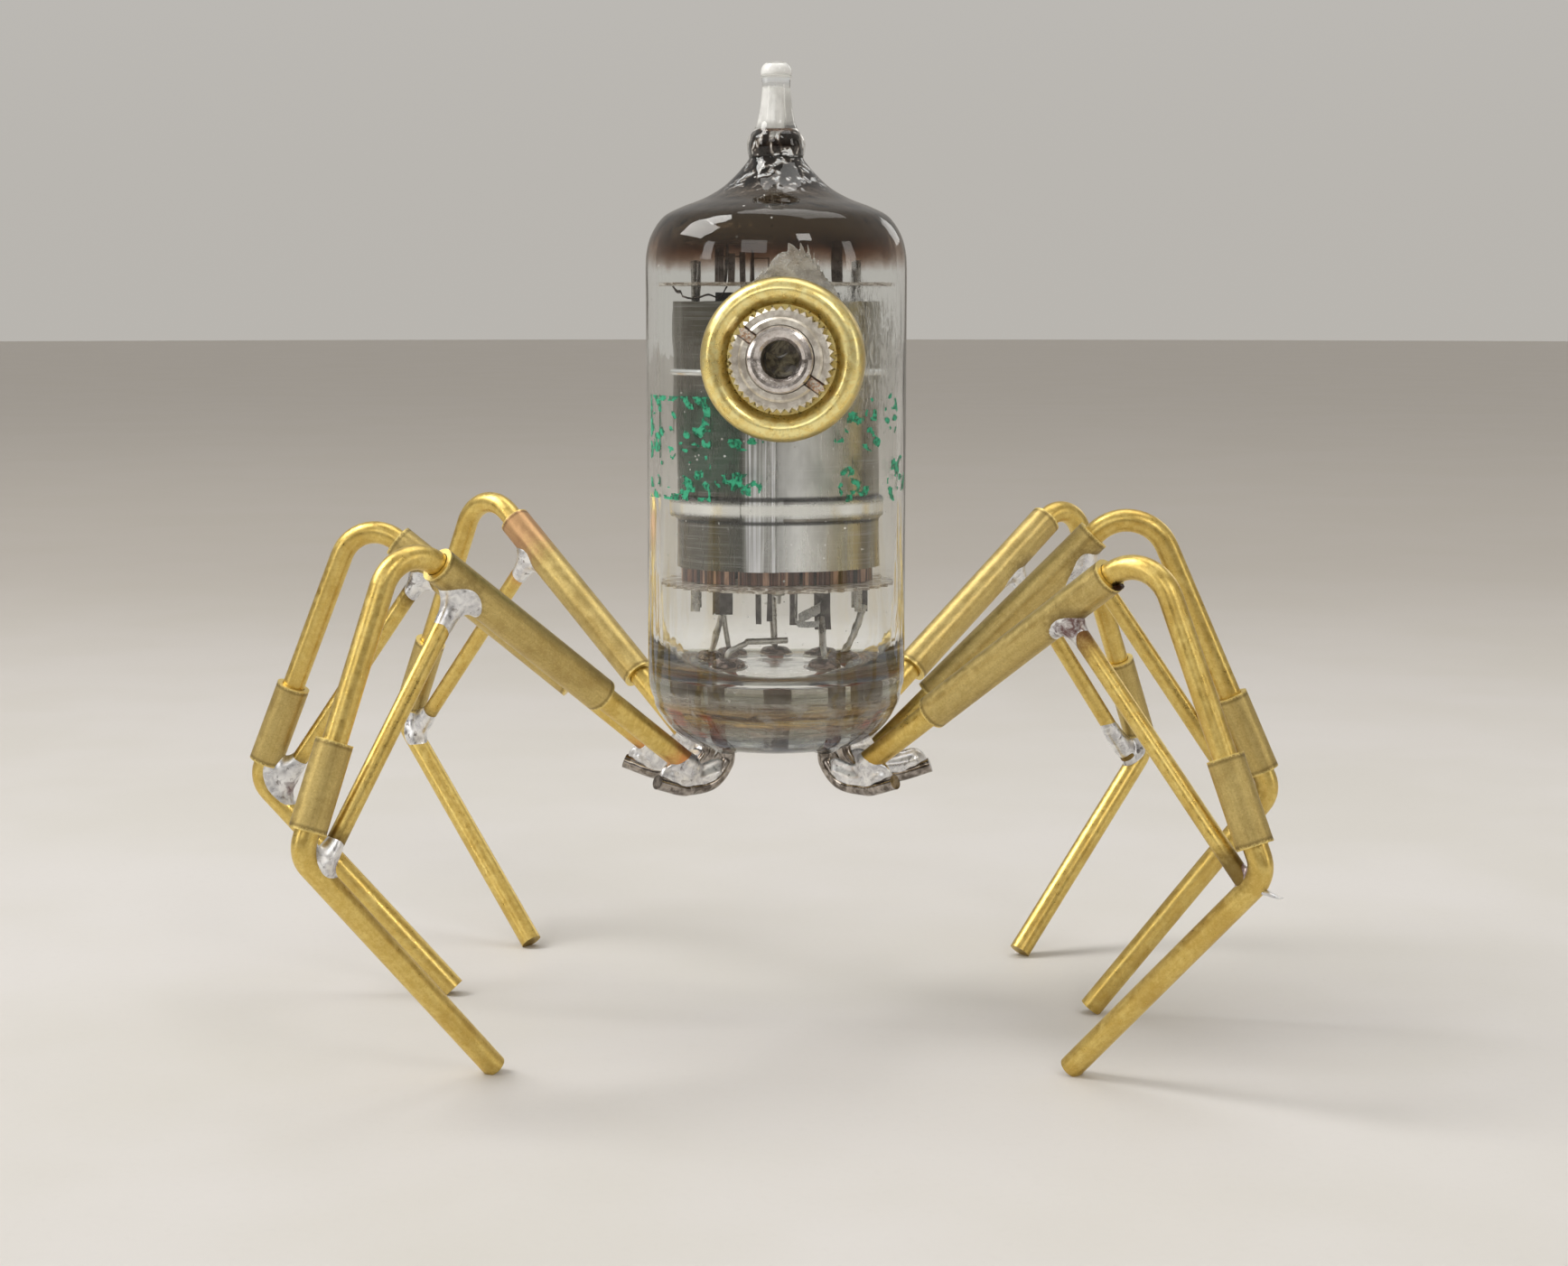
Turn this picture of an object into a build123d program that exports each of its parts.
from build123d import *
from collections import namedtuple
import math
import os

# Six-legged desk figure: a miniature seven-pin glass valve standing on legs of bent
# brass rod that are soldered to its own pins, with a round eye glued to its front.
# Millimetres. +X is the figure's left-to-right as seen from the front, -Y is the
# front, +Z is up. The origin is on the floor in the middle of the footprint.
# Everything is drawn about the valve's axis and moved to AXIS_X, AXIS_Y on export.

os.makedirs("parts", exist_ok=True)

# ---------------------------------------------------------------- shared sizes
AXIS_X, AXIS_Y = 1.70, -0.56
BULB_R = 9.0                # bulb outside radius
BASE_Z = 19.2               # underside of the glass base
BUTTON_Z = 23.95            # inside top of the base
PIN_R = 0.508
PIN_CIRCLE_R = 4.763        # seven-pin base circle
PIN_TOP_Z = BUTTON_Z + 0.9  # pins end and inner leads begin here
PIN_ANGLES = (0, 45, 90, 135, 180, 225, 315)
PIN_XY = {
    angle: (
        PIN_CIRCLE_R * math.cos(math.radians(angle)),
        PIN_CIRCLE_R * math.sin(math.radians(angle)),
    )
    for angle in PIN_ANGLES
}
ON_BOTTOM = (Align.CENTER, Align.CENTER, Align.MIN)
ON_TOP = (Align.CENTER, Align.CENTER, Align.MAX)


# ---------------------------------------------------------------- helpers
def out(shape, name):
    export_step(Pos(AXIS_X, AXIS_Y, 0) * shape, f"parts/{name}.step")


def biggest(shape):
    return max(shape.solids(), key=lambda solid: solid.volume)


def group(items):
    return Compound(children=[solid for item in items for solid in item.solids()])


def post(x, y, z, radius, height):
    """Upright round bar standing on height z."""
    return Pos(x, y, z) * Cylinder(radius, height, align=ON_BOTTOM)


def bar_between(start, end, radius):
    """Round bar from one point to another."""
    start, end = Vector(*start), Vector(*end)
    run = end - start
    return Plane(origin=start, z_dir=run) * Cylinder(radius, run.length, align=ON_BOTTOM)


def swept(path, radius):
    """Round bar along a path."""
    return sweep(Plane(origin=path @ 0, z_dir=path % 0) * Circle(radius), path=path)


def bent(points, bend_radii, radius, plane):
    """Round bar along a polyline in a plane, with a centre-line radius at each corner."""
    points = [Vector(*point) for point in points]
    edges = []
    start = points[0]
    for before, corner, after, bend_r in zip(points, points[1:], points[2:], bend_radii):
        back, ahead = (before - corner).normalized(), (after - corner).normalized()
        half_angle = math.acos(max(-1, min(1, back.dot(ahead)))) / 2
        setback = bend_r / math.tan(half_angle)
        arc_start, arc_end = corner + back * setback, corner + ahead * setback
        centre = corner + (back + ahead).normalized() * (bend_r / math.sin(half_angle))
        arc_mid = centre + (corner - centre).normalized() * bend_r
        edges += [Line(start, arc_start), ThreePointArc(arc_start, arc_mid, arc_end)]
        start = arc_end
    edges.append(Line(start, points[-1]))
    return swept(plane.from_local_coords(Wire([e.edge() for e in edges])), radius)


# Profiles are drawn in the XZ plane from (radius, height) points.
def curve(points, **options):
    return Spline(*[(r, 0, z) for r, z in points], **options)


def lines(*points):
    return Polyline(*[(r, 0, z) for r, z in points])


def revolved(profile):
    """Solid of revolution about Z from a closed run of curves and lines."""
    wire = Wire([edge for part in profile for edge in part.edges()])
    return revolve(Face(wire), axis=Axis.Z)


def turned(points):
    """Solid of revolution about Z from straight-sided profile points."""
    outline = Polyline(*[(r, 0, z) for r, z in points], close=True)
    return revolve(make_face(outline), axis=Axis.Z)


def toothed_disc(radius, depth, teeth, z, thickness, phase=0):
    """Disc with a pointed-tooth edge; phase shifts the teeth by a part of their pitch."""
    pitch = 2 * math.pi / teeth
    root_r = radius - depth
    points = []
    for i in range(teeth):
        tip, root = pitch * (i + phase), pitch * (i + phase + 0.5)
        points += [
            (radius * math.cos(tip), radius * math.sin(tip)),
            (root_r * math.cos(root), root_r * math.sin(root)),
        ]
    return Pos(0, 0, z) * extrude(make_face(Polyline(*points, close=True)), thickness)


# ---------------------------------------------------------------- glass
BULB_WALL = 0.8
INNER_R = BULB_R - BULB_WALL
BASE_CORNER_R = 4.2             # base corner, radial reach
BASE_CORNER_Z = 5.2             # base corner, height
SEAM_Z = 20.9                   # where bulb and base are fused, on the outside
SHOULDER_Z = 52.2
TIP_Z = 66.27
CAVITY_TOP_Z = 61.55
BUTTON_R = 6.0                  # flat top of the base
INNER_CORNER_Z = 27.2           # top of the bulb's inside bottom corner
BEAD_H, BEAD_SPHERE_R = 0.62, 1.2
COLLAR_LOW_R, COLLAR_TOP_R, COLLAR_H = 0.62, 0.95, 0.35

# Outlines as (radius, height), going up.
SHOULDER = [
    (BULB_R, SHOULDER_Z), (8.93, 53.3), (8.60, 54.5), (7.75, 55.75), (6.55, 56.40),
    (5.05, 56.98), (3.70, 57.75), (2.65, 58.72), (2.02, 59.45),
]
BULGE = [
    (2.02, 59.45), (1.86, 59.75), (1.97, 60.15), (2.00, 60.65),
    (1.90, 61.15), (1.55, 61.60), (1.30, 62.10),
]
TIP = [
    (1.30, 62.10), (1.10, 63.10), (0.98, 64.20), (0.97, 64.85), (1.05, 65.35),
    (1.03, 65.75), (0.78, 66.10), (0.40, 66.24), (0.0, TIP_Z),
]
INNER_SHOULDER = [
    (INNER_R, SHOULDER_Z - 0.1), (8.08, 53.5), (7.62, 54.7), (6.75, 55.50),
    (5.30, 56.15), (3.90, 56.85), (2.75, 57.70), (1.80, 58.60),
]
INNER_NECK = [
    (1.80, 58.60), (1.28, 59.30), (1.22, 59.95), (1.22, 60.6),
    (0.95, 61.15), (0.5, 61.45), (0.0, CAVITY_TOP_Z),
]


def base_corner(degrees):
    """Point on the outer base corner, 0 at the underside and 90 at the bulb wall."""
    a = math.radians(degrees)
    return (
        BULB_R - BASE_CORNER_R + BASE_CORNER_R * math.sin(a),
        BASE_Z + BASE_CORNER_Z * (1 - math.cos(a)),
    )


def inner_corner(degrees):
    """Point on the inside bottom corner, 0 at the base's flat and 90 at the wall."""
    a = math.radians(degrees)
    return (
        BUTTON_R + (INNER_R - BUTTON_R) * math.sin(a),
        INNER_CORNER_Z - (INNER_CORNER_Z - BUTTON_Z) * math.cos(a),
    )


SEAM_ANGLE = math.degrees(math.acos(1 - (SEAM_Z - BASE_Z) / BASE_CORNER_Z))
SEAM_TANGENT = (
    math.cos(math.radians(SEAM_ANGLE)) * BASE_CORNER_R,
    0,
    math.sin(math.radians(SEAM_ANGLE)) * BASE_CORNER_Z,
)
SEAM_POINT = base_corner(SEAM_ANGLE)
JOINT_MID = (6.9, 22.0)     # bulb and base meet along a line through this point


def glass_envelope():
    corner = [base_corner(SEAM_ANGLE + (90 - SEAM_ANGLE) * i / 6) for i in range(7)]
    inside_corner = [inner_corner(a) for a in (90, 72, 54, 36, 18, 0)]
    return revolved([
        curve(corner, tangents=[SEAM_TANGENT, (0, 0, 1)]),
        lines((BULB_R, BASE_Z + BASE_CORNER_Z), (BULB_R, SHOULDER_Z)),
        curve(SHOULDER),
        curve(BULGE),
        curve(TIP),
        lines((0, TIP_Z), (0, CAVITY_TOP_Z)),
        curve(INNER_NECK[::-1]),
        curve(INNER_SHOULDER[::-1]),
        lines(INNER_SHOULDER[0], (INNER_R, INNER_CORNER_Z)),
        curve(inside_corner),
        lines((BUTTON_R, BUTTON_Z), JOINT_MID, SEAM_POINT),
    ])


def glass_base(pins):
    corner = [base_corner(SEAM_ANGLE * i / 5) for i in range(6)]
    base = revolved([
        lines((0, BASE_Z), (BULB_R - BASE_CORNER_R, BASE_Z)),
        curve(corner, tangents=[(1, 0, 0), SEAM_TANGENT]),
        lines(SEAM_POINT, JOINT_MID, (BUTTON_R, BUTTON_Z), (0, BUTTON_Z), (0, BASE_Z)),
    ])
    # each pin has a domed glass bead on the inside and a short collar on the outside
    for x, y in PIN_XY.values():
        bead = Pos(x, y, BUTTON_Z + BEAD_H - BEAD_SPHERE_R) * Sphere(BEAD_SPHERE_R)
        base = base + (bead & Pos(x, y, BUTTON_Z + 0.5) * Box(3, 3, 1.2))
        collar = Cone(COLLAR_LOW_R, COLLAR_TOP_R, COLLAR_H, align=ON_TOP)
        base = base + Pos(x, y, BASE_Z) * collar
    for pin in pins:
        base = base - pin
    return biggest(base)


# ---------------------------------------------------------------- pins and legs
ROD_R = 0.794               # 1/16 in brass rod
SLEEVE_OR = 1.19            # 3/32 in brass tube
SLEEVE_IR = ROD_R + 0.041   # running clearance on the rod
STRUT_R = 0.595             # 3/64 in brass rod
STRUT_BURY = 0.9            # strut ends run this far past their contact points
FOOT_FLAT = 0.12            # depth of the small worn flat under each foot end
REAR_PIN_END_Z = 18.0       # lower end of the straight pin

# The pin's lower part, as (distance out, height) in the leg's plane.
HOOK_TOP = (0, BASE_Z - 0.45)
HOOK = [HOOK_TOP, (0.28, 18.02), (1.35, 17.08), (3.3, 16.88), (6.1, 17.62)]
HOOK_TANGENTS = [(0, -1), (1, 0.36)]

# Solder lumps: half-length and radius; the hook's also has a centre and a tilt.
STRUT_SOLDER = dict(half_length=1.62, radius=0.86)
KNEE_SOLDER = dict(half_length=1.45, radius=0.84)
HOOK_SOLDER = dict(centre=(3.30, 17.55), half_length=1.95, radius=0.90, tilt=12)
STRUT_SOLDER_SHIFT = 0.50           # back along the upper limb from the strut's top
KNEE_SOLDER_SHIFT = (0.10, -0.25)   # from the strut's lower end
KNEE_SOLDER_TILT = 6                # beyond the lower limb's own slope
SOLDER_SLEEVE_GAP = 0.08            # keeps knee solder off the loose sleeve

# One row per leg. Angles in degrees; points are (distance out from the pin, height) in
# the leg's vertical plane. "elbow" is the upper bend corner. Bends are centre-line
# radii. Sleeves are (distance from the elbow or knee, length), the upper one measured
# towards the inner end and the lower one towards the elbow.
Leg = namedtuple(
    "Leg",
    "pin_angle heading inner_end elbow knee foot bend_radii "
    "upper_sleeve lower_sleeve strut_top strut_low",
)
LEGS = {
    "front_left": Leg(
        225, -140.1, (3.45, 18.50), (26.11, 35.74), (33.51, 16.41), (19.28, 0.0),
        (2.60, 1.75), (3.50, 15.8), (1.49, 5.75), (22.06, 31.15), (31.46, 16.23)),
    "front_right": Leg(
        315, -39.3, (3.75, 18.73), (25.94, 35.11), (34.35, 15.24), (20.14, 0.0),
        (2.88, 1.80), (3.75, 17.1), (1.81, 5.75), (20.30, 29.42), (32.46, 15.18)),
    "middle_left": Leg(
        180, 170.4, (3.40, 18.23), (25.43, 35.24), (33.44, 15.45), (18.54, 0.0),
        (2.70, 1.80), (3.62, 16.2), (1.40, 6.10), (21.03, 30.34), (31.10, 15.85)),
    "middle_right": Leg(
        0, -5.8, (2.55, 18.88), (20.52, 37.28), (29.79, 16.19), (17.30, 0.0),
        (3.00, 1.75), (4.60, 16.0), (1.54, 5.77), (16.95, 31.95), (27.72, 16.00)),
    "rear_left": Leg(
        135, 139.4, (4.00, 18.57), (25.77, 36.33), (35.11, 16.29), (20.45, 0.0),
        (3.00, 1.80), (4.82, 16.9), (1.50, 6.00), (20.52, 30.50), (32.85, 16.60)),
    "rear_right": Leg(
        45, 35.0, (2.95, 19.30), (23.08, 35.47), (31.23, 14.89), (18.31, 0.0),
        (2.15, 1.75), (2.99, 16.5), (1.60, 6.30), (17.80, 29.70), (29.00, 15.20)),
}


def leg_plane(leg):
    """Vertical plane through the leg's pin: local x runs outwards, local y up."""
    a = math.radians(leg.heading)
    return Plane(
        origin=(*PIN_XY[leg.pin_angle], 0),
        x_dir=(math.cos(a), math.sin(a), 0),
        z_dir=(math.sin(a), -math.cos(a), 0),
    )


def slope(direction):
    return math.degrees(math.atan2(direction.Y, direction.X))


def hooked_pin(plane):
    """Pin straight down out of the glass, then bent outwards under the rod."""
    stub = Line((0, PIN_TOP_Z), HOOK_TOP)
    hook = Spline(*HOOK, tangents=HOOK_TANGENTS)
    return swept(plane.from_local_coords(Wire([stub.edge(), hook.edge()])), PIN_R)


def sleeve_ends(plane, corner, toward, span):
    """End points of a sleeve lying on the limb from corner towards another point."""
    start, length = span
    axis = (toward - corner).normalized()
    return [plane.from_local_coords(corner + axis * d) for d in (start, start + length)]


def solder_lump(plane, centre, half_length, radius, tilt):
    """Round-ended lump lying in the plane, tilted up from the plane's outward axis."""
    reach = half_length - radius
    lump = (
        Rot(0, 90, 0) * Cylinder(radius, 2 * reach)
        + Pos(reach, 0, 0) * Sphere(radius)
        + Pos(-reach, 0, 0) * Sphere(radius)
    )
    return plane * Pos(centre[0], centre[1], 0) * Rot(0, 0, tilt) * lump


def leg_parts(leg):
    """The pieces of one leg, keyed by the first part of their file name."""
    plane = leg_plane(leg)
    inner_end, elbow, knee, foot = (
        Vector(*point) for point in (leg.inner_end, leg.elbow, leg.knee, leg.foot)
    )
    upper_dir = (elbow - inner_end).normalized()
    lower_dir = (foot - knee).normalized()
    pin = hooked_pin(plane)

    # the rod is cut square at its foot, raised so only a small flat is lost to the floor
    foot_lift = ROD_R * abs(lower_dir.X) - FOOT_FLAT
    rod_end = foot - lower_dir * (foot_lift / abs(lower_dir.Y))
    rod = bent([inner_end, elbow, knee, rod_end], leg.bend_radii, ROD_R, plane)
    rod = biggest(rod - Pos(0, 0, -5) * Box(120, 120, 10))

    # soldered sleeve on the upper limb, loose sleeve just above the knee
    upper_ends = sleeve_ends(plane, elbow, inner_end, leg.upper_sleeve)
    upper_outer = bar_between(*upper_ends, SLEEVE_OR)
    upper_sleeve = upper_outer - bar_between(*upper_ends, SLEEVE_IR)
    lower_ends = sleeve_ends(plane, knee, elbow, leg.lower_sleeve)
    lower_sleeve = bar_between(*lower_ends, SLEEVE_OR) - bar_between(*lower_ends, SLEEVE_IR)

    # strut from the underside of the upper sleeve to the inside of the knee
    strut_top, strut_low = Vector(*leg.strut_top), Vector(*leg.strut_low)
    bury = (strut_low - strut_top).normalized() * STRUT_BURY
    strut_ends = [plane.from_local_coords(p) for p in (strut_top - bury, strut_low + bury)]
    strut = biggest(bar_between(*strut_ends, STRUT_R) - upper_outer - rod)

    # solder where the strut meets the sleeve, at the knee and at the pin's hook
    top_centre = strut_top - upper_dir * STRUT_SOLDER_SHIFT
    top = solder_lump(
        plane, centre=tuple(top_centre), tilt=slope(upper_dir), **STRUT_SOLDER)
    top = biggest(top - upper_outer - strut)
    low_centre = strut_low + Vector(*KNEE_SOLDER_SHIFT)
    low_tilt = slope(lower_dir * -1) + KNEE_SOLDER_TILT
    low = solder_lump(plane, centre=tuple(low_centre), tilt=low_tilt, **KNEE_SOLDER)
    clearance = bar_between(*lower_ends, SLEEVE_OR + SOLDER_SLEEVE_GAP)
    low = biggest(low - rod - strut - clearance)
    hook = biggest(solder_lump(plane, **HOOK_SOLDER) - rod - pin)

    return {
        "pin": pin,
        "leg_rod": rod,
        "upper_sleeve": upper_sleeve,
        "lower_sleeve": lower_sleeve,
        "strut": strut,
        "solder": group([top, low, hook]),
    }


legs = {name: leg_parts(leg) for name, leg in LEGS.items()}
for name, parts in legs.items():
    for kind, shape in parts.items():
        out(shape, f"{kind}_{name}")

rear_pin = post(*PIN_XY[90], REAR_PIN_END_Z, PIN_R, PIN_TOP_Z - REAR_PIN_END_Z)
out(rear_pin, "pin_rear_centre")
out(glass_envelope(), "glass_envelope")
out(glass_base([parts["pin"] for parts in legs.values()] + [rear_pin]), "glass_base")

# ---------------------------------------------------------------- shield
SHIELD_RX, SHIELD_RY, SHIELD_T = 7.04, 5.30, 0.20
SHIELD_Z0, SHIELD_Z1 = 31.75, 50.0
SHIELD_SEAM_X = -1.0
LAP_GROW = 0.22             # outside of the lap beyond the shield's face
LAP_CLEARANCE = 0.02        # between the lap and the right half
RIBS = [(35.10, 36.70, 0.38), (44.98, 45.42, 0.22)]     # bottom z, top z, projection
RIB_CHAMFER = 0.8           # as a part of the rib's projection


def oval(radius_x, radius_y, z0, z1):
    return Pos(0, 0, z0) * extrude(Ellipse(radius_x, radius_y), z1 - z0)


def shield_oval(grow, z0=SHIELD_Z0, z1=SHIELD_Z1):
    return oval(SHIELD_RX + grow, SHIELD_RY + grow, z0, z1)


def shield_tool(grow):
    """Cutting oval that runs past both ends of the shield."""
    return shield_oval(grow, SHIELD_Z0 - 1, SHIELD_Z1 + 1)


def front_block(offset, width):
    """Block over the front half, centred at an offset from the seam."""
    return Pos(SHIELD_SEAM_X + offset, -10, 40) * Box(width, 20, 60)


def side_block(side):
    return Pos(SHIELD_SEAM_X + side * 25, 0, 40) * Box(50, 60, 60)


def shield_halves():
    """Oval shield in two halves; the left one laps over the right at the front seam."""
    body = shield_oval(0)
    inside = shield_tool(-SHIELD_T)
    for z0, z1, grow in RIBS:
        rib = shield_oval(grow, z0, z1)
        rims = rib.edges().filter_by(GeomType.LINE, reverse=True)
        body = body + (chamfer(rims, grow * RIB_CHAMFER) - front_block(0.05, 2.9))
    shell = body - inside

    lap = (shield_oval(LAP_GROW) - shield_tool(LAP_CLEARANCE)) & front_block(-0.05, 2.5)
    lap_root = (shield_oval(LAP_GROW) - inside) & front_block(-0.65, 1.3)
    left = biggest((shell & side_block(-1)) + lap_root + lap)
    right = biggest((shell & side_block(1)) - left)
    return left, right


shield_left, shield_right = shield_halves()
out(shield_left, "shield_left")
out(shield_right, "shield_right")

# ---------------------------------------------------------------- electrodes
PLATE_RX, PLATE_RY, PLATE_T = 4.3, 3.1, 0.15
PLATE_Z0, PLATE_Z1 = 31.0, 50.6
CATHODE_R, CATHODE_BORE_R, CATHODE_Z, CATHODE_H = 0.62, 0.52, 29.6, 22.6
HEATER_R, HEATER_BEND_R = 0.11, 0.2
HEATER_X, HEATER_Z0, HEATER_Z1 = 0.22, 29.0, 50.5   # hairpin: half spacing, ends
GRID_TOP_Z = 49.4
GRID_ROD_BELOW = 2.2        # side rods start this far under the first turn
GRID_ROD_EXTRA = 4.0        # side rods are this much longer than the wound height
GRID_ROD_GAP = 0.005        # between the side rods and the turns
GRIDS = {                   # turn radius, wire radius, rod radius, first turn z, pitch
    "control_grid": (1.25, 0.04, 0.16, 32.2, 1.1),
    "screen_grid": (1.85, 0.045, 0.18, 32.4, 1.6),
    "suppressor_grid": (2.50, 0.05, 0.20, 32.6, 2.4),
}


def anode_plate():
    outer = oval(PLATE_RX, PLATE_RY, PLATE_Z0, PLATE_Z1)
    return biggest(
        outer - oval(PLATE_RX - PLATE_T, PLATE_RY - PLATE_T, PLATE_Z0 - 1, PLATE_Z1 + 1))


def cathode_sleeve():
    bore = post(0, 0, CATHODE_Z - 1, CATHODE_BORE_R, CATHODE_H + 2)
    return post(0, 0, CATHODE_Z, CATHODE_R, CATHODE_H) - bore


def heater():
    points = [
        (-HEATER_X, HEATER_Z0), (-HEATER_X, HEATER_Z1),
        (HEATER_X, HEATER_Z1), (HEATER_X, HEATER_Z0),
    ]
    return bent(points, [HEATER_BEND_R] * 2, HEATER_R, Plane.XZ)


def grid_rod_xs(turn_r, wire_r, rod_r):
    reach = turn_r - wire_r - rod_r - GRID_ROD_GAP
    return -reach, reach


def grid(turn_r, wire_r, rod_r, z0, pitch):
    """Two side rods inside separate rings of fine wire."""
    rod_h = GRID_TOP_Z - z0 + GRID_ROD_EXTRA
    rods = [
        post(x, 0, z0 - GRID_ROD_BELOW, rod_r, rod_h)
        for x in grid_rod_xs(turn_r, wire_r, rod_r)
    ]
    steps = int((GRID_TOP_Z - z0) / pitch)
    rings = [Pos(0, 0, z0 + i * pitch) * Torus(turn_r, wire_r) for i in range(steps + 1)]
    return group(rods + rings)


out(anode_plate(), "anode_plate")
out(cathode_sleeve(), "cathode_sleeve")
out(heater(), "heater")
for name, sizes in GRIDS.items():
    out(grid(*sizes), name)

# ---------------------------------------------------------------- micas, posts, strips
MICA_R, MICA_T = 8.05, 0.22
MICA_TEETH, MICA_TOOTH_DEPTH = 44, 0.42
MICA_LOW_Z, MICA_HIGH_Z = 30.55, 51.05
MICA_TOP_Z = MICA_HIGH_Z + MICA_T
MICA_BORE_R = 0.66          # hole for the cathode
MICA_ROD_GAP = 0.02         # round the grid rods
POST_X, POST_Y, POST_R, POST_Z, POST_H = 5.6, 1.2, 0.25, 28.6, 24.2
STRIP_T = 0.16
UPPER_EARS = [              # x, y, width, top z
    (-3.95, -1.6, 0.62, 53.75), (-3.05, -1.9, 0.45, 53.2), (-2.30, -1.0, 0.30, 53.3),
    (-1.62, -1.4, 0.32, 53.5), (4.15, -1.5, 0.70, 54.1),
]
LOWER_TABS = [              # x, y, width, bottom z
    (-3.75, -1.0, 1.35, 28.35), (-1.20, -1.6, 0.42, 27.75), (-0.40, -2.0, 0.36, 28.0),
    (1.20, -2.1, 0.55, 27.75), (3.25, -1.0, 1.25, 27.3), (6.15, 0.6, 0.42, 28.4),
]


def mica(z, phase, posts):
    """Round spacer with a toothed edge, punched for cathode, grid rods and posts."""
    disc = toothed_disc(MICA_R, MICA_TOOTH_DEPTH, MICA_TEETH, z, MICA_T, phase)
    disc = disc - Pos(0, 0, z) * Cylinder(MICA_BORE_R, 3)
    for turn_r, wire_r, rod_r, _, _ in GRIDS.values():
        for x in grid_rod_xs(turn_r, wire_r, rod_r):
            disc = disc - Pos(x, 0, z) * Cylinder(rod_r + MICA_ROD_GAP, 3)
    for support in posts:
        disc = disc - support
    return disc


def strips(rows, mica_z):
    """Flat upright strips between a mica face and each row's end height."""
    return group([
        Pos(x, y, (mica_z + end_z) / 2) * Box(width, STRIP_T, abs(end_z - mica_z))
        for x, y, width, end_z in rows
    ])


# four posts through both micas, outside the plate and inside the shield
support_posts = [
    post(x, y, POST_Z, POST_R, POST_H) for x in (-POST_X, POST_X) for y in (POST_Y, -POST_Y)
]
upper_ears = strips(UPPER_EARS, MICA_TOP_Z)
out(mica(MICA_LOW_Z, 0, support_posts), "lower_mica")
out(mica(MICA_HIGH_Z, 0.25, support_posts), "upper_mica")
out(group(support_posts), "support_posts")
out(upper_ears, "upper_ears")
out(strips(LOWER_TABS, MICA_LOW_Z), "lower_tabs")

# ---------------------------------------------------------------- getter and leads
GETTER_X, GETTER_Y, GETTER_Z = -3.35, -0.6, 54.25
GETTER_OR, GETTER_IR, GETTER_H = 3.05, 2.25, 0.42
CHANNEL_OR, CHANNEL_IR, CHANNEL_H, CHANNEL_Z = 2.85, 2.45, 0.3, 54.37
GETTER_BAR, GETTER_BAR_Z = (5.0, 0.45, 0.14), 54.12
STALK_R, STALK_TOP_Z, STALK_FOOT = 0.18, 54.06, (-3.6, -0.4, MICA_TOP_Z)

LEAD_R = 0.24
STRAIGHT_LEADS = {          # pin angle: upper end
    180: (-3.85, -0.62, 28.3),
    135: (-3.9, -0.38, 29.5),
    90: (-0.2, 1.1, 29.2),
    45: (3.3, 0.2, 29.2),
    315: (3.1, -1.36, 28.2),
    0: (6.1, 0.28, 28.9),
}
CURVED_LEAD = [             # from the front left pin
    (-3.37, -3.37, PIN_TOP_Z), (-3.2, -3.3, 25.7), (-2.2, -2.85, 26.45), (0.75, -1.75, 26.62),
]
CURVED_LEAD_TANGENTS = [(0.05, 0, 1), (1, 0.35, 0.02)]


def getter_ring():
    """Ring with a channel in its top, a flat bar across it and a wire stalk."""
    ring = Pos(GETTER_X, GETTER_Y, GETTER_Z) * (
        Cylinder(GETTER_OR, GETTER_H) - Cylinder(GETTER_IR, 0.9))
    ring = ring - Pos(GETTER_X, GETTER_Y, CHANNEL_Z) * (
        Cylinder(CHANNEL_OR, CHANNEL_H) - Cylinder(CHANNEL_IR, 0.6))
    cross_bar = Pos(GETTER_X, GETTER_Y, GETTER_BAR_Z) * Box(*GETTER_BAR)
    stalk = bar_between((GETTER_X, GETTER_Y, STALK_TOP_Z), STALK_FOOT, STALK_R)
    return biggest(ring + cross_bar + stalk - upper_ears)


def inner_leads():
    """Wires from the pins up to the electrodes."""
    wires = [
        bar_between((*PIN_XY[angle], PIN_TOP_Z), end, LEAD_R)
        for angle, end in STRAIGHT_LEADS.items()
    ]
    curved = Spline(*CURVED_LEAD, tangents=CURVED_LEAD_TANGENTS)
    wires.append(swept(Wire([curved.edge()]), LEAD_R))
    return group(wires)


out(getter_ring(), "getter_ring")
out(inner_leads(), "inner_leads")

# ---------------------------------------------------------------- eye
# Heights in this section run forwards along the eye's axis from the bezel's back rim.
EYE_CENTRE = (0.52, -9.42, 46.2)    # centre of the bezel's back rim plane
EYE_TURN = math.radians(5.0)        # turned about the vertical, towards -X
EYE_UP = math.radians(1.5)          # looks upwards
BARREL_R = 2.20
BARREL_BORE_R = 1.26
BARREL_BACK, BARREL_FRONT = -0.15, 3.35
BARREL_SHOULDER_R = 3.1
BEZEL_R = 5.38
BEZEL_H = 2.25
BEZEL_SHEET = 0.40
BEZEL_FLOOR = 1.40                  # front face of the dished floor
BEZEL_FLOOR_R = 3.60
BEZEL_BORE_R = BARREL_R + 0.03
BEZEL_DOME = [                      # front face (radius, height), from the rim inwards
    (BEZEL_R, 1.20), (5.33, 1.58), (5.15, 1.92), (4.86, 2.16),
    (4.52, BEZEL_H), (4.18, 2.13), (3.90, 1.86), (3.70, 1.58),
]
NUT_Z = BEZEL_FLOOR + 0.02
NUT_R, NUT_T, NUT_BEVEL = 3.46, 1.00, (0.26, 0.22)  # bevel: radial, axial
NUT_BOSS_R, NUT_BOSS_T, NUT_BOSS_BEVEL = 2.76, 1.38, 0.15
NUT_BORE_R = BARREL_R + 0.05        # running clearance on the barrel
NUT_TEETH, NUT_TOOTH_DEPTH = 40, 0.30
NUT_SLOT_W = 0.82
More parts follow.
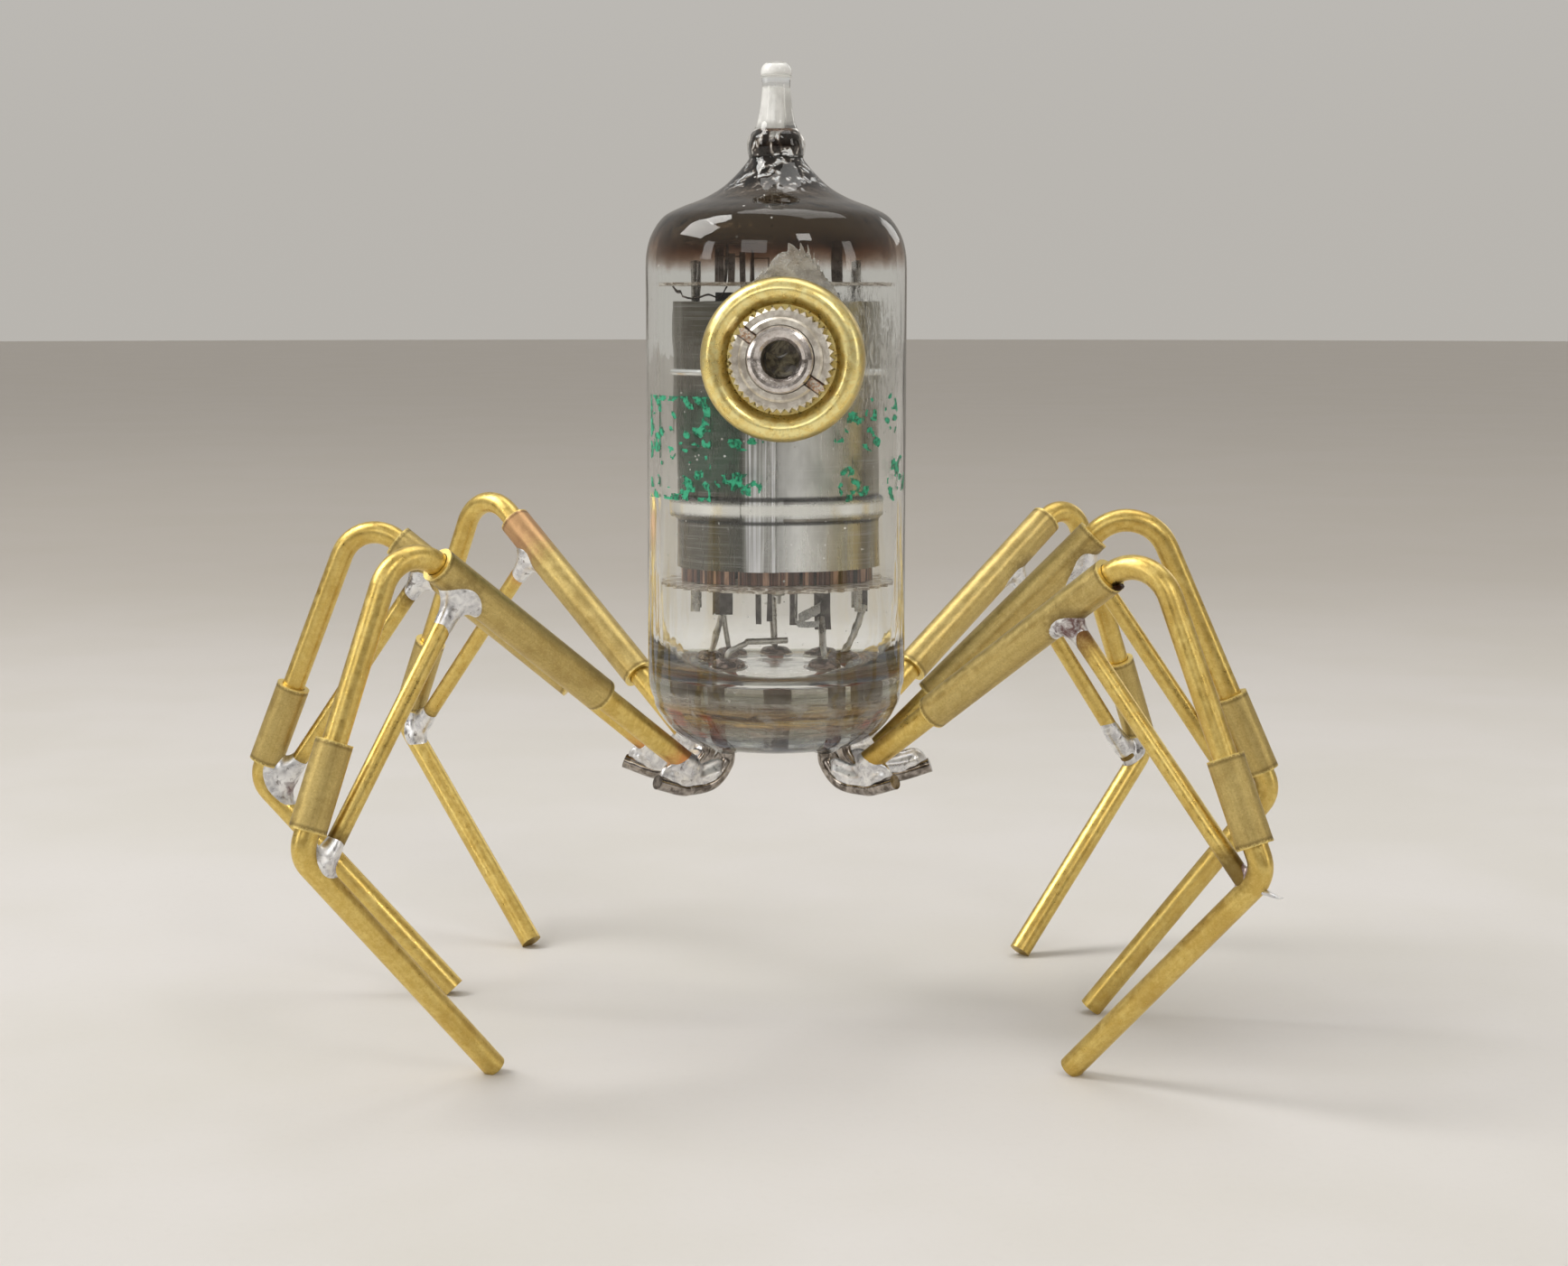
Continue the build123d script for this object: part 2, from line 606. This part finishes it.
NUT_SLOT_DEPTH = 0.68               # below the nut's rim face
NUT_SLOT_ANGLE = -36.0
PAD_R, PAD_H, PAD_Z = BEZEL_R - 0.45, 3.1, -1.6     # glue pad; z is its middle
SMEAR_CENTRE, SMEAR_R = (1.35, -6.70, 51.1), 3.1

EYE = Plane(
    origin=EYE_CENTRE,
    x_dir=(math.cos(EYE_TURN), -math.sin(EYE_TURN), 0),
    z_dir=(
        -math.sin(EYE_TURN) * math.cos(EYE_UP),
        -math.cos(EYE_TURN) * math.cos(EYE_UP),
        math.sin(EYE_UP),
    ),
)


def dome_underside():
    """The dome's points moved inwards by the sheet thickness."""
    points = [(BEZEL_R - BEZEL_SHEET, BEZEL_DOME[0][1])]
    for k in range(1, len(BEZEL_DOME)):
        r, z = BEZEL_DOME[k]
        before, after = BEZEL_DOME[k - 1], BEZEL_DOME[min(k + 1, len(BEZEL_DOME) - 1)]
        run, rise = after[0] - before[0], after[1] - before[1]
        scale = BEZEL_SHEET / math.hypot(run, rise)
        points.append((r - scale * rise, z + scale * run))
    return points


def eye_bezel():
    """Sheet bezel: outside wall, rounded crest and dished floor."""
    under = dome_underside()
    floor_back = BEZEL_FLOOR - BEZEL_SHEET
    return EYE * revolved([
        lines((BEZEL_R, 0), BEZEL_DOME[0]),
        curve(BEZEL_DOME),
        lines(
            BEZEL_DOME[-1], (BEZEL_FLOOR_R, BEZEL_FLOOR), (BEZEL_BORE_R, BEZEL_FLOOR),
            (BEZEL_BORE_R, floor_back), (BEZEL_FLOOR_R - 0.12, floor_back), under[-1]),
        curve(under[::-1]),
        lines(under[0], (BEZEL_R - BEZEL_SHEET, 0), (BEZEL_R, 0)),
    ])


def eye_barrel():
    """Plain barrel with a shoulder behind the bezel and a rounded lip in front."""
    shoulder_z = BEZEL_FLOOR - BEZEL_SHEET - 0.02
    return EYE * turned([
        (BARREL_BORE_R, BARREL_BACK),
        (BARREL_SHOULDER_R, BARREL_BACK),
        (BARREL_SHOULDER_R, shoulder_z),
        (BARREL_R, shoulder_z),
        (BARREL_R, BARREL_FRONT - 0.35),
        (BARREL_R - 0.10, BARREL_FRONT - 0.12),
        (BARREL_R - 0.32, BARREL_FRONT),
        (BARREL_BORE_R + 0.42, BARREL_FRONT - 0.02),
        (BARREL_BORE_R + 0.20, BARREL_FRONT - 0.16),
        (BARREL_BORE_R, BARREL_FRONT - 0.36),
    ])


def eye_ring_nut():
    """Knurled nut with a raised boss and a slot across its front."""
    rim_z, boss_z = NUT_Z + NUT_T, NUT_Z + NUT_BOSS_T
    nut = toothed_disc(NUT_R, NUT_TOOTH_DEPTH, NUT_TEETH, NUT_Z, NUT_T)
    nut = nut & turned([
        (0, NUT_Z), (NUT_R, NUT_Z), (NUT_R, rim_z - NUT_BEVEL[1]),
        (NUT_R - NUT_BEVEL[0], rim_z), (0, rim_z),
    ])
    nut = nut + turned([
        (0, NUT_Z + 0.2), (NUT_BOSS_R, NUT_Z + 0.2), (NUT_BOSS_R, boss_z - NUT_BOSS_BEVEL),
        (NUT_BOSS_R - NUT_BOSS_BEVEL, boss_z), (0, boss_z),
    ])
    nut = nut - Pos(0, 0, NUT_Z) * Cylinder(NUT_BORE_R, 6)
    slot = Box(2 * (NUT_R + 0.2), NUT_SLOT_W, 3, align=ON_BOTTOM)
    return EYE * (nut - Pos(0, 0, rim_z - NUT_SLOT_DEPTH) * Rot(0, 0, NUT_SLOT_ANGLE) * slot)


def eye_glue(bezel):
    """Clear glue from the back of the bezel to the glass, with a smear above it."""
    pad = EYE * (Pos(0, 0, PAD_Z) * Cylinder(PAD_R, PAD_H))
    glue = pad + Pos(*SMEAR_CENTRE) * Sphere(SMEAR_R)
    glue = glue - post(0, 0, 10, BULB_R, 60) - bezel
    glue = glue - EYE * post(0, 0, BARREL_BACK, BARREL_SHOULDER_R, 6)
    # nothing in front of the bezel's back rim
    return biggest(glue - EYE * post(0, 0, 0, BEZEL_R + 2, 6))


bezel = eye_bezel()
out(bezel, "eye_bezel")
out(eye_barrel(), "eye_barrel")
out(eye_ring_nut(), "eye_ring_nut")
out(eye_glue(bezel), "eye_glue")
